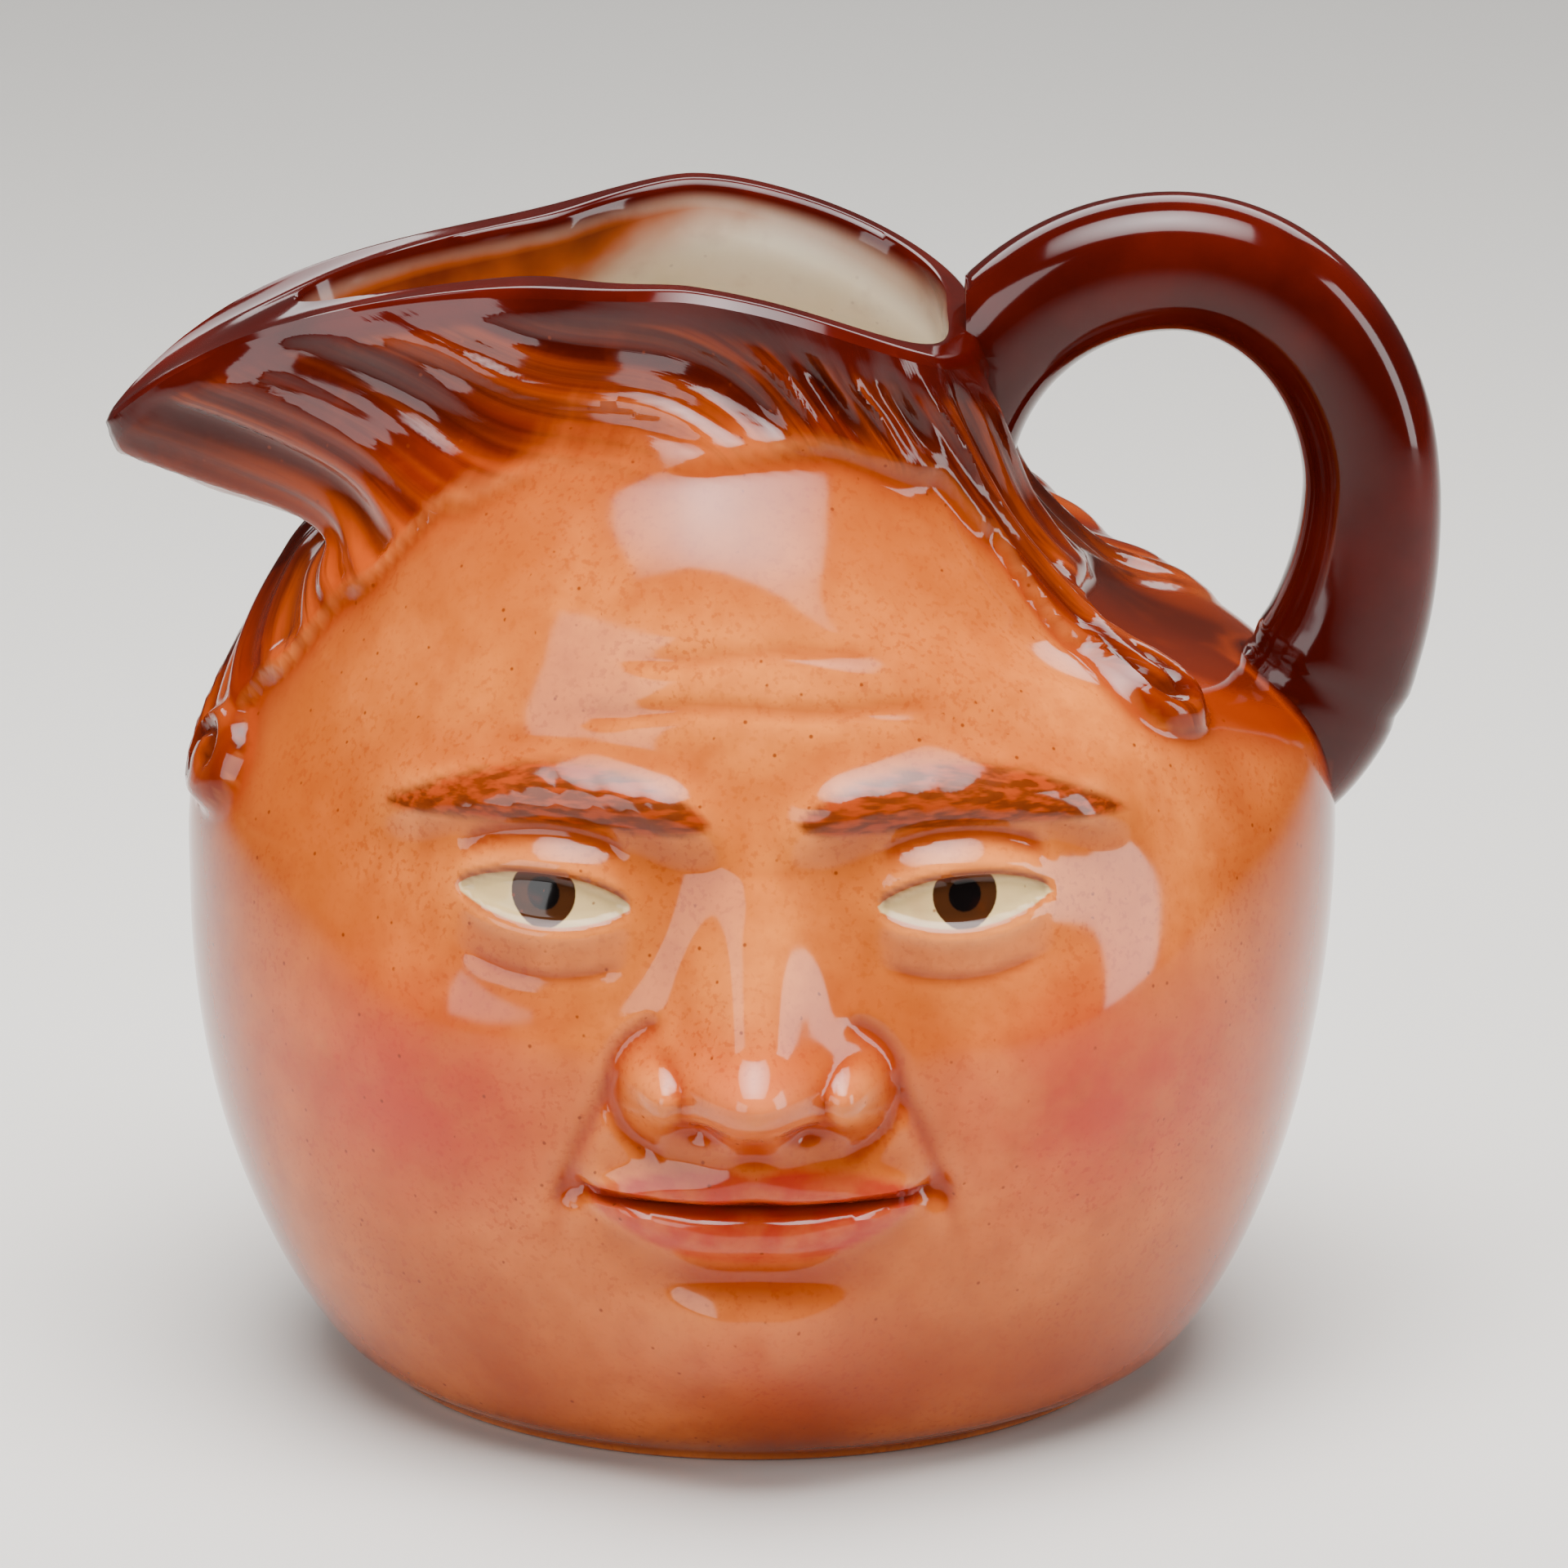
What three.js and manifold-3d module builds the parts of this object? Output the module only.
// A toby jug: a glazed earthenware jug in the form of a head, cast hollow in a mould.
// The hair sweeps up into the rim and out into a peak on one side, and a loop handle
// is luted on at the other. The face looks along -Y, the handle is at +X, and +Z is up.

import * as THREE from 'three';
import { ParametricGeometry } from 'three/addons/geometries/ParametricGeometry.js';
import { mergeVertices } from 'three/addons/utils/BufferGeometryUtils.js';
import Module from 'manifold-3d';

// Driving sizes, in millimetres
const rimHeight = 158; // crest of the rim above the table
const headWidth = 158; // across the cheeks
const headDepth = 145; // from the cheeks to the back, without the nose
const footRadius = 54;
const footRingWidth = 6; // the ring that the jug stands on
const footRecess = 1.6; // how far the middle of the underside is raised
const footBevel = 1.5;
const wallThickness = 4.6;
const floorThickness = 6;
const rimLeft = 36; // the rim's outline without the peak, from the upright axis
const rimRight = 31;
const rimFront = 39;
const rimBack = 34.5;
const lipWidth = 5.4; // the flat top of the rim
const lipRounding = 1.3;
const peakReach = 89; // tip of the peak from the axis
const peakHollow = 0.6; // share of the peak that the hollow of the mouth runs into
const peakDish = 1.8; // how deep the top of the peak is dished
const loopAcross = 57; // middle of the handle's loop, from the axis
const loopUp = 122; // and above the table
const loopLeft = 31.5; // reaches of the loop from there, to the middle of its clay
const loopRight = 27.6;
const loopUpper = 32.5;
const loopLower = 42;
const handleThickness = 18.8; // of the handle in the plane of the loop
const handleBreadth = 18; // of the handle from front to back
const rootSpread = 1.3; // how much thicker the handle is where it joins the cheek

// Fineness of the facets
const columns = 74;
const outsideRows = 48;
const insideRows = 6;
const handleSteps = 22;
const handleSides = 12;

// One hundredth of the rim's height, in which the carving is measured
const unit = rimHeight / 100;
const degree = Math.PI / 180;

// Stations of the outside, from the foot to the neck under the rim. Heights are shares of
// the rim's height and reaches are shares of half the head's width or depth. fallLeft and
// fallRight say how much lower the ring lies towards the peak and towards the handle.
const headStations = [
  { up: 0.036, left: 0.758, right: 0.768, front: 0.81, back: 0.8 },
  { up: 0.104, left: 0.848, right: 0.858, front: 0.895, back: 0.88 },
  { up: 0.205, left: 0.93, right: 0.938, front: 0.965, back: 0.947 },
  { up: 0.31, left: 0.975, right: 0.985, front: 0.995, back: 0.987 },
  { up: 0.42, left: 0.99, right: 1.01, front: 1.0, back: 1.0 },
  { up: 0.53, left: 0.978, right: 1.008, front: 0.975, back: 0.987, fallRight: 0.006 },
  { up: 0.632, left: 0.88, right: 0.962, front: 0.918, back: 0.93, fallRight: 0.046 },
  { up: 0.72, left: 0.78, right: 0.85, front: 0.84, back: 0.84, fallLeft: 0.01, fallRight: 0.092 },
  { up: 0.8, left: 0.725, right: 0.65, front: 0.735, back: 0.73, fallLeft: 0.05, fallRight: 0.13 },
];

// Stations of the neck and the rim, as shares of the rim's own outline and of the peak
const neckStations = [
  {
    up: 0.886, left: 1.25, right: 1.2, front: 1.05, back: 1.17,
    peak: 0.57, fallLeft: 0.094, fallRight: 0.125,
  },
  {
    up: 0.952, left: 1.05, right: 1.046, front: 0.945, back: 1.0,
    peak: 0.88, fallLeft: 0.13, fallRight: 0.105,
  },
  {
    up: 1, left: 1, right: 1, front: 1, back: 1,
    peak: 1, fallLeft: 0.165, fallRight: 0.088,
  },
];

const peakLength = peakReach - rimLeft;
const peakSpread = 18.5 * degree; // how wide the peak is, seen from the axis
const peakPower = 1.55; // the tip is pointed
const hollowPower = 2; // the end of the hollow is blunt
const crestAcross = -0.06 * headWidth; // where the rim is highest
const fallRightPower = 1.6;

function realStations() {
  const halfWidth = headWidth / 2;
  const halfDepth = headDepth / 2;
  const foot = {
    up: footBevel, left: footRadius, right: footRadius, front: footRadius, back: footRadius,
    peak: 0, fallLeft: 0, fallRight: 0, squareness: 2,
  };
  const head = headStations.map((s) => ({
    up: s.up * rimHeight,
    left: s.left * halfWidth,
    right: s.right * halfWidth,
    front: s.front * halfDepth,
    back: s.back * halfDepth,
    peak: 0,
    fallLeft: (s.fallLeft || 0) * rimHeight,
    fallRight: (s.fallRight || 0) * rimHeight,
    squareness: 2.1, // of the half towards the handle, where 2 is an ellipse
  }));
  const neck = neckStations.map((s) => ({
    up: s.up * rimHeight,
    left: s.left * rimLeft,
    right: s.right * rimRight,
    front: s.front * rimFront,
    back: s.back * rimBack,
    peak: s.peak * peakLength,
    fallLeft: s.fallLeft * rimHeight,
    fallRight: s.fallRight * rimHeight,
    squareness: 3.1,
  }));
  return [foot, ...head, ...neck];
}

const stations = realStations();
const lastStation = stations.length - 1;

// Smooth curve through four neighbouring values
function through(a, b, c, d, s) {
  const curve = 2 * b + (c - a) * s + (2 * a - 5 * b + 4 * c - d) * s * s;
  return 0.5 * (curve + (3 * b - a - 3 * c + d) * s * s * s);
}

// The station at a place between 0, the foot, and 1, the edge of the rim
function stationAt(place) {
  const along = THREE.MathUtils.clamp(place, 0, 1) * lastStation;
  const first = Math.min(Math.floor(along), lastStation - 1);
  const pick = (step) => stations[THREE.MathUtils.clamp(first + step, 0, lastStation)];
  const found = {};
  for (const key of Object.keys(stations[0])) {
    found[key] = through(pick(-1)[key], pick(0)[key], pick(1)[key], pick(2)[key], along - first);
  }
  return found;
}

// Angle from the middle of the peak, 0 to half a turn. Angles are 0 at the front and grow
// towards +X.
function fromPeak(angle) {
  return Math.abs(THREE.MathUtils.euclideanModulo(angle + 1.5 * Math.PI, 2 * Math.PI) - Math.PI);
}

function reachOf(s, angle) {
  const right = Math.sin(angle) > 0;
  const across = Math.abs(Math.sin(angle)) / (right ? s.right : s.left);
  const along = Math.abs(Math.cos(angle)) / (Math.cos(angle) > 0 ? s.front : s.back);
  const power = right ? s.squareness : 2;
  return (across ** power + along ** power) ** (-1 / power);
}

function peakOf(s, angle, power) {
  return s.peak * Math.exp(-((fromPeak(angle) / peakSpread) ** power));
}

// Height of a station's ring at a distance across, which sinks from the crest to either end
function ringHeight(s, x) {
  const leftShare = Math.max(0, (crestAcross - x) / (crestAcross + s.left + s.peak));
  const rightShare = Math.max(0, (x - crestAcross) / (s.right - crestAcross));
  const leftFall = 0.44 * leftShare + 0.56 * leftShare ** 5;
  return s.up - s.fallLeft * leftFall - s.fallRight * rightShare ** fallRightPower;
}

// Smooth outside of the head, before the carving
function smoothOutside(place, angle, peakShare = 1, power = peakPower) {
  const s = stationAt(place);
  const reach = reachOf(s, angle) + peakShare * peakOf(s, angle, power);
  const x = reach * Math.sin(angle);
  return new THREE.Vector3(x, -reach * Math.cos(angle), ringHeight(s, x));
}

function outwardAt(place, angle, peakShare, power) {
  const near = 0.004;
  const low = smoothOutside(place - near, angle, peakShare, power);
  const high = smoothOutside(place + near, angle, peakShare, power);
  const before = smoothOutside(place, angle - near, peakShare, power);
  const after = smoothOutside(place, angle + near, peakShare, power);
  return after.sub(before).cross(high.sub(low)).normalize();
}

// Inside of the wall at a depth below the smooth outside. The depth is taken at a right
// angle to the outside low down, and level in the neck.
const squareUntil = lastStation - 3.5; // stations between which it turns
const levelFrom = lastStation - 1.5;

function behindOutside(place, angle, depth) {
  const point = smoothOutside(place, angle, peakHollow, hollowPower);
  const outward = outwardAt(place, angle, peakHollow, hollowPower);
  const level = new THREE.Vector3(Math.sin(angle), -Math.cos(angle), 0);
  const turn = THREE.MathUtils.smoothstep(place * lastStation, squareUntil, levelFrom);
  return point.addScaledVector(outward.lerp(level, turn).normalize(), -depth);
}

// Building blocks of the carving. All take and give hundredths of the rim's height
const bell = (d, width) => Math.exp(-((d / width) ** 2));
const blob = (dx, dz, rx, rz) => Math.exp(-((dx / rx) ** 2 + (dz / rz) ** 2));
const step = THREE.MathUtils.smoothstep;

function larger(a, b, soft) {
  const mix = THREE.MathUtils.clamp(0.5 + (0.5 * (a - b)) / soft, 0, 1);
  return b + (a - b) * mix + soft * mix * (1 - mix);
}

// The face: brow, nose base and chin divide it in thirds, and the eyes stand one eye apart
const chinUp = 11.4;
const hairlineUp = 85;
const third = (hairlineUp - chinUp) / 3;
const browUp = chinUp + 2 * third;
const noseBaseUp = chinUp + third;
const mouthUp = noseBaseUp - third / 3;
const eyeHalf = 8.8; // half the width of one eye
const eyeAcross = 2 * eyeHalf;
const eyeUp = browUp - 7.2;
const mouthHalf = 14.5;

// Mounds and hollows of the face. Those that stand to the side come in pairs.
const mounds = {
  chin: { high: 4.2, side: 0, up: chinUp + 4, wide: 10.5, tall: 6.4 },
  chinFold: { high: -1.4, side: 0, up: chinUp + 9.6, wide: 8, tall: 2.2 },
  cheek: { high: 2.8, side: 27, up: noseBaseUp + 3.5, wide: 14, tall: 11 },
  temple: { high: -1.2, side: 40, up: browUp - 1, wide: 8, tall: 9 },
  lipBed: { high: 1.8, side: 0, up: mouthUp + 0.5, wide: 15, tall: 8.5 },
  mouthCorner: { high: -0.9, side: mouthHalf + 1, up: mouthUp + 0.5, wide: 2.2, tall: 2.2 },
  noseTip: { high: 10.2, side: 0, up: noseBaseUp + 3, wide: 7, tall: 5.2 },
  noseWing: { high: 6, side: 7, up: noseBaseUp + 2.2, wide: 3.4, tall: 3.4 },
  nostril: { high: -1.8, side: 4.4, up: noseBaseUp - 1, wide: 2, tall: 1.5 },
  eyeSocket: { high: -3.4, side: eyeAcross - 1.5, up: eyeUp + 0.8, wide: 11.5, tall: 7.5 },
  eyeball: { high: 4.2, side: eyeAcross, up: eyeUp + 0.4, wide: 8, tall: 5.8 },
  eyelids: { high: 1.7, side: eyeAcross, up: eyeUp + 0.5, wide: 10.5, tall: 6 },
};

function mound(name, x, z) {
  const m = mounds[name];
  return m.high * blob(Math.abs(x) - m.side, z - m.up, m.wide, m.tall);
}

// The ridge of the nose grows from its root between the eyes to the tip
const noseRoot = { high: 1.6, up: eyeUp + 3, wide: 4.8 };
const noseEnd = { high: 9.2, up: noseBaseUp + 3, wide: 6.8 };

function noseRelief(x, z) {
  const down = THREE.MathUtils.clamp((noseRoot.up - z) / (noseRoot.up - noseEnd.up), 0, 1);
  const high = THREE.MathUtils.lerp(noseRoot.high, noseEnd.high, down ** 1.2);
  const wide = THREE.MathUtils.lerp(noseRoot.wide, noseEnd.wide, down);
  const under = step(z, noseBaseUp - 2.2, noseEnd.up);
  const above = 1 - step(z, noseRoot.up - 2, browUp + 5.8);
  const ridge = high * bell(x, wide) * under * above;
  const withTip = larger(ridge, mound('noseTip', x, z), 1.6);
  return larger(withTip, mound('noseWing', x, z), 1) + mound('nostril', x, z);
}

// The lids stand round an opening between two arcs
const openingHalf = 7.4;
const upperLidRise = 2.5;
const lowerLidDrop = 1.9;

function eyeRelief(x, z) {
  const inside = Math.max(0, 1 - ((Math.abs(x) - eyeAcross) / openingHalf) ** 2);
  const upper = eyeUp + upperLidRise * inside ** 0.7;
  const lower = eyeUp - lowerLidDrop * inside ** 0.8;
  const open = step(upper - z, -0.4, 1.4) * step(z - lower, -0.4, 1.4);
  return mound('eyeSocket', x, z) + mound('eyeball', x, z) + mound('eyelids', x, z) * (1 - open);
}

const browHalf = 12.5; // half the length of one eyebrow
const browHigh = 2.1;
const browArch = 1.9;
const browDrop = 0.5; // how much its outer end lies lower than its inner end, on either side

function browRelief(x, z) {
  const along = (Math.abs(x) - eyeAcross) / browHalf;
  const line = browUp + 1.4 - browArch * along * along - browDrop * along;
  return browHigh * bell(z - line, 2.9) * step(1.4 - Math.abs(along), 0, 0.6);
}

const upperLip = { high: 1.9, middle: 2.1, thin: 1.3, thick: 2.5 };
const lowerLip = { high: 2.4, middle: -2.8, thin: 1.3, thick: 2.9 };
const lipCrease = { deep: 1.4, tall: 1.1 };

function lipRelief(lip, fromParting, full) {
  const tall = THREE.MathUtils.lerp(lip.thin, lip.thick, full);
  return lip.high * bell(fromParting - lip.middle * full, tall) * full ** 0.8;
}

function mouthRelief(x, z) {
  const along = Math.min(1, Math.abs(x) / mouthHalf);
  const fromParting = z - mouthUp - 0.5 * along ** 2;
  const full = 1 - along ** 2; // of the lips, from the corner to the middle
  const lips = lipRelief(upperLip, fromParting, full) + lipRelief(lowerLip, fromParting, full);
  const creaseEnd = step(mouthHalf + 2 - Math.abs(x), 0, 3);
  const crease = lipCrease.deep * bell(fromParting, lipCrease.tall) * creaseEnd;
  return mound('lipBed', x, z) + mound('mouthCorner', x, z) + lips - crease;
}

function faceRelief(x, z) {
  const form = mound('chin', x, z) + mound('chinFold', x, z) + mound('cheek', x, z);
  const features = noseRelief(x, z) + eyeRelief(x, z) + browRelief(x, z) + mouthRelief(x, z);
  return form + mound('temple', x, z) + features;
}

// Where the hair ends: the height of its edge all round, as angles from the front and
// hundredths of the rim's height. A lock runs down before each temple.
const hairEdge = [
  { angle: -180, up: 50 }, { angle: -130, up: 54 }, { angle: -96, up: 62 }, { angle: -80, up: 52 },
  { angle: -72, up: 64 }, { angle: -63, up: 72.5 }, { angle: -51, up: 81 }, { angle: -36, up: 85 },
  { angle: 12, up: 87 }, { angle: 34, up: 84 }, { angle: 44, up: 78.5 }, { angle: 51, up: 69 },
  { angle: 58, up: 62.5 }, { angle: 65, up: 71 }, { angle: 90, up: 70 }, { angle: 130, up: 58 },
  { angle: 180, up: 50 },
];

// Degrees from the front, from half a turn back to just under half a turn forward
function wrapped(angle) {
  const degrees = Math.round((angle / degree) * 1e6) / 1e6;
  return THREE.MathUtils.euclideanModulo(degrees + 180, 360) - 180;
}

function hairEdgeUp(angle) {
  const degrees = wrapped(angle);
  const next = Math.max(1, hairEdge.findIndex((knot) => knot.angle > degrees));
  const a = hairEdge[next - 1];
  const b = hairEdge[next];
  return THREE.MathUtils.lerp(a.up, b.up, step(degrees, a.angle, b.angle));
}

// Hair: a raised layer with combed strands, which lean towards the peak as they rise.
// Over the brow on the peak's side its edge fades out.
const strandSpacing = 24; // degrees round the head, a whole number of times in a turn
const strandLean = 38; // degrees gained from the brow up to the rim
const hairToRim = 16; // from the edge over the brow up to the rim
const upright = { sides: 52, brow: 85, spread: 60 }; // below these heights the strands are upright
const hairHigh = 1.5;
const strandDeep = 0.6;

// The locks before the temples end in curls
const curls = [{ angle: -79, up: 57, radius: 4.3 }, { angle: 57, up: 66, radius: 3.8 }];
const curlHigh = 1;

function curlRelief(degrees, z) {
  let high = 0;
  for (const curl of curls) {
    const across = (degrees - curl.angle) * degree * (headWidth / 2 / unit);
    const away = Math.hypot(across, z - curl.up);
    high += curlHigh * (1 - step(away, 0.6 * curl.radius, 1.2 * curl.radius));
  }
  return high;
}

function hairRelief(angle, z) {
  const above = z - hairEdgeUp(angle);
  const degrees = wrapped(angle);
  const start = THREE.MathUtils.lerp(upright.sides, upright.brow, bell(degrees, upright.spread));
  const lean = strandLean * bell(wrapped(angle + 20 * degree), 100);
  const phase = degrees + lean * (Math.max(0, z - start) / hairToRim) ** 1.1;
  const strands = Math.cos((phase / strandSpacing) * 2 * Math.PI);
  const toRim = 1 - step(z, 93, 98);
  const crisp = 1 - 0.8 * bell(degrees + 28, 30);
  const layer = hairHigh * crisp * step(above, -1.6, 2.4);
  const combed = strandDeep * strands * step(above, 0, 6) * toRim;
  return larger(layer + combed, curlRelief(degrees, z) * hairHigh, 0.3);
}

// Outside with the face and the hair on it
function carvedOutside(place, angle) {
  const point = smoothOutside(place, angle);
  const outward = outwardAt(place, angle);
  const sideways = step(Math.cos(angle), 0.15, 0.45);
  const edge = hairEdgeUp(angle);
  const bare = 1 - step(point.z / unit, edge - 4, edge + 3);
  const low = step(place * lastStation, 0, 1.5);
  const face = faceRelief(point.x / unit, point.z / unit) * sideways * bare * low;
  const rimFade = 1 - step(place, 0.93, 1);
  const hair = hairRelief(angle, point.z / unit) * rimFade;
  point.y -= face * unit;
  return point.addScaledVector(outward, hair * unit);
}

// Places between 0 and 1, closer together where the density is higher
function spread(count, density) {
  const fine = 600;
  const sums = [0];
  for (let i = 0; i < fine; i++) sums.push(sums[i] + density((i + 0.5) / fine));
  const places = [];
  for (let i = 0, k = 0; i <= count; i++) {
    const wanted = (sums[fine] * i) / count;
    while (k < fine - 1 && sums[k + 1] < wanted) k++;
    places.push((k + (wanted - sums[k]) / (sums[k + 1] - sums[k])) / fine);
  }
  return places;
}

// The same places with the nearest one moved onto a wanted one
function moved(places, wanted) {
  const away = places.map((p) => Math.abs(p - wanted));
  return places.with(away.indexOf(Math.min(...away)), wanted);
}

// Columns lie on the tip of the peak and on the middle of the handle's side
const peakPlace = 0.25;
const handlePlace = 0.75;
const evenColumns = spread(columns, (p) => {
  const angle = (p * 2 - 1) * 180;
  return 1 + 2.6 * bell(angle, 42) + 1.1 * bell(angle + 90, 18);
});
const columnPlaces = moved(moved(evenColumns, peakPlace), handlePlace);
const outsidePlaces = spread(outsideRows, (p) => {
  const rise = stationAt(p + 0.001).up - stationAt(p - 0.001).up;
  return rise * (0.8 + step(stationAt(p).up, 0, 0.2 * rimHeight));
});

// Rows of the whole section, from the middle of the underside, up the outside, over
// the rim and down the inside to the middle of the floor
const underRows = [
  { reach: 0, up: footRecess },
  { reach: footRadius - footBevel - footRingWidth - footRecess, up: footRecess },
  { reach: footRadius - footBevel - footRingWidth, up: 0 },
  { reach: footRadius - footBevel, up: 0 },
];
const lipRows = [0, 0.5, 1];
const insideBottom = 0.1; // place on the outside behind which the floor begins

function underside(row, angle) {
  return new THREE.Vector3(row.reach * Math.sin(angle), -row.reach * Math.cos(angle), row.up);
}

// Top of the rim at a share of the way from its outer to its inner edge
function lipPoint(share, angle) {
  const outer = smoothOutside(1, angle);
  const inner = behindOutside(1, angle, lipWidth);
  const inward = new THREE.Vector3(-Math.sin(angle), Math.cos(angle), 0);
  outer.addScaledVector(inward, lipRounding);
  inner.addScaledVector(inward, -lipRounding);
  const point = outer.lerp(inner, share);
  point.z = ringHeight(stations[lastStation], point.x) + lipRounding;
  const width = Math.hypot(smoothOutside(1, angle).x - inner.x, smoothOutside(1, angle).y - inner.y);
  point.z -= peakDish * Math.sin(Math.PI * share) * step(width, 2 * lipWidth, 4 * lipWidth);
  return point;
}

function insidePoint(row, angle) {
  const share = row / insideRows;
  const place = THREE.MathUtils.lerp(1, insideBottom, share ** 0.9);
  const depth = THREE.MathUtils.lerp(lipWidth, wallThickness, Math.min(1, share * 3));
  const point = behindOutside(place, angle, depth);
  point.z = Math.max(point.z, floorThickness);
  return point;
}

const sectionRows = [
  ...underRows.map((row) => (angle) => underside(row, angle)),
  ...outsidePlaces.map((place) => (angle) => carvedOutside(place, angle)),
  ...lipRows.map((share) => (angle) => lipPoint(share, angle)),
  ...Array.from({ length: insideRows + 1 }, (_, row) => (angle) => insidePoint(row, angle)),
  () => new THREE.Vector3(0, 0, floorThickness),
];

// Closed solid from rows of points round the axis, with a pole at either end
function solidOf(rows, places, wasm) {
  const last = rows.length - 1;
  const surface = (u, v, target) => {
    const angle = (places[Math.round(u * (places.length - 1))] * 2 - 1) * Math.PI;
    target.copy(rows[Math.round(v * last)](angle));
  };
  const geometry = new ParametricGeometry(surface, places.length - 1, last);
  return closedSolid(geometry, wasm);
}

function closedSolid(geometry, wasm) {
  geometry.deleteAttribute('normal');
  geometry.deleteAttribute('uv');
  const merged = mergeVertices(geometry, 1e-3);
  const kept = [];
  const index = merged.index.array;
  for (let i = 0; i < index.length; i += 3) {
    const [a, b, c] = [index[i], index[i + 1], index[i + 2]];
    if (a !== b && b !== c && c !== a) kept.push(a, b, c);
  }
  const mesh = new wasm.Mesh({
    numProp: 3,
    vertProperties: merged.attributes.position.array,
    triVerts: new Uint32Array(kept),
  });
  return new wasm.Manifold(mesh);
}

// The handle follows an arc of an ellipse from the rim, over and down to the cheek
const handleStart = 176 * degree;
const handleEnd = -78 * degree;

function handlePoint(u, v, target) {
  const turn = THREE.MathUtils.lerp(handleStart, handleEnd, v);
  const across = Math.cos(turn) < 0 ? loopLeft : loopRight;
  const along = Math.sin(turn) > 0 ? loopUpper : loopLower;
  const middle = new THREE.Vector3(
    loopAcross + across * Math.cos(turn), 0, loopUp + along * Math.sin(turn));
  const outward = new THREE.Vector3(Math.cos(turn) / across, 0, Math.sin(turn) / along).normalize();
  const swell = 1 + (rootSpread - 1) * step(v, 0.66, 0.92);
  const round = -u * 2 * Math.PI;
  const corner = 0.86; // below 1 the section is squarer than an ellipse
  const out = Math.sign(Math.cos(round)) * Math.abs(Math.cos(round)) ** corner;
  const side = Math.sign(Math.sin(round)) * Math.abs(Math.sin(round)) ** corner;
  const closed = v === 0 || v === 1 ? 0 : 1;
  target.copy(middle).addScaledVector(outward, (closed * swell * out * handleThickness) / 2);
  target.y = (closed * (1 + 0.5 * (swell - 1)) * side * handleBreadth) / 2;
}

// A core half-way through the wall, which trims the ends of the handle. It goes on
// straight up above the rim.
const coreColumns = 48;
const coreRows = 16;

function coreSolid(wasm) {
  const depth = wallThickness / 2;
  const top = rimHeight + handleThickness;
  const rows = [() => behindOutside(insideBottom, 0, depth).setX(0).setY(0)];
  for (let i = 0; i <= coreRows; i++) {
    const place = THREE.MathUtils.lerp(insideBottom, 1, i / coreRows);
    rows.push((angle) => behindOutside(place, angle, depth));
  }
  rows.push((angle) => behindOutside(1, angle, depth).setZ(top));
  rows.push(() => new THREE.Vector3(0, 0, top));
  return solidOf(rows, spread(coreColumns, () => 1), wasm);
}

function geometryOf(solid) {
  const mesh = solid.getMesh();
  const geometry = new THREE.BufferGeometry();
  geometry.setAttribute('position', new THREE.BufferAttribute(mesh.vertProperties, 3));
  geometry.setIndex(new THREE.BufferAttribute(mesh.triVerts, 1));
  geometry.computeVertexNormals();
  return geometry;
}

const wasm = await Module();
wasm.setup();

const vessel = solidOf(sectionRows, columnPlaces, wasm);
const handleGeometry = new ParametricGeometry(handlePoint, handleSides, handleSteps);
const handle = closedSolid(handleGeometry, wasm).subtract(coreSolid(wasm));
const jugSolid = vessel.add(handle);

// One glazed piece, painted under the glaze
const flushedGlaze = new THREE.MeshStandardMaterial({ color: 0xd9946a, roughness: 0.15, metalness: 0 });
const jug = new THREE.Mesh(geometryOf(jugSolid), flushedGlaze);
jug.name = 'toby_jug';

// The jug stands with the middle of its overall length and depth at the origin
const middle = new THREE.Box3().setFromObject(jug).getCenter(new THREE.Vector3());
jug.position.set(-middle.x, -middle.y, 0);

const part = new THREE.Group();
part.add(jug);

export default part;
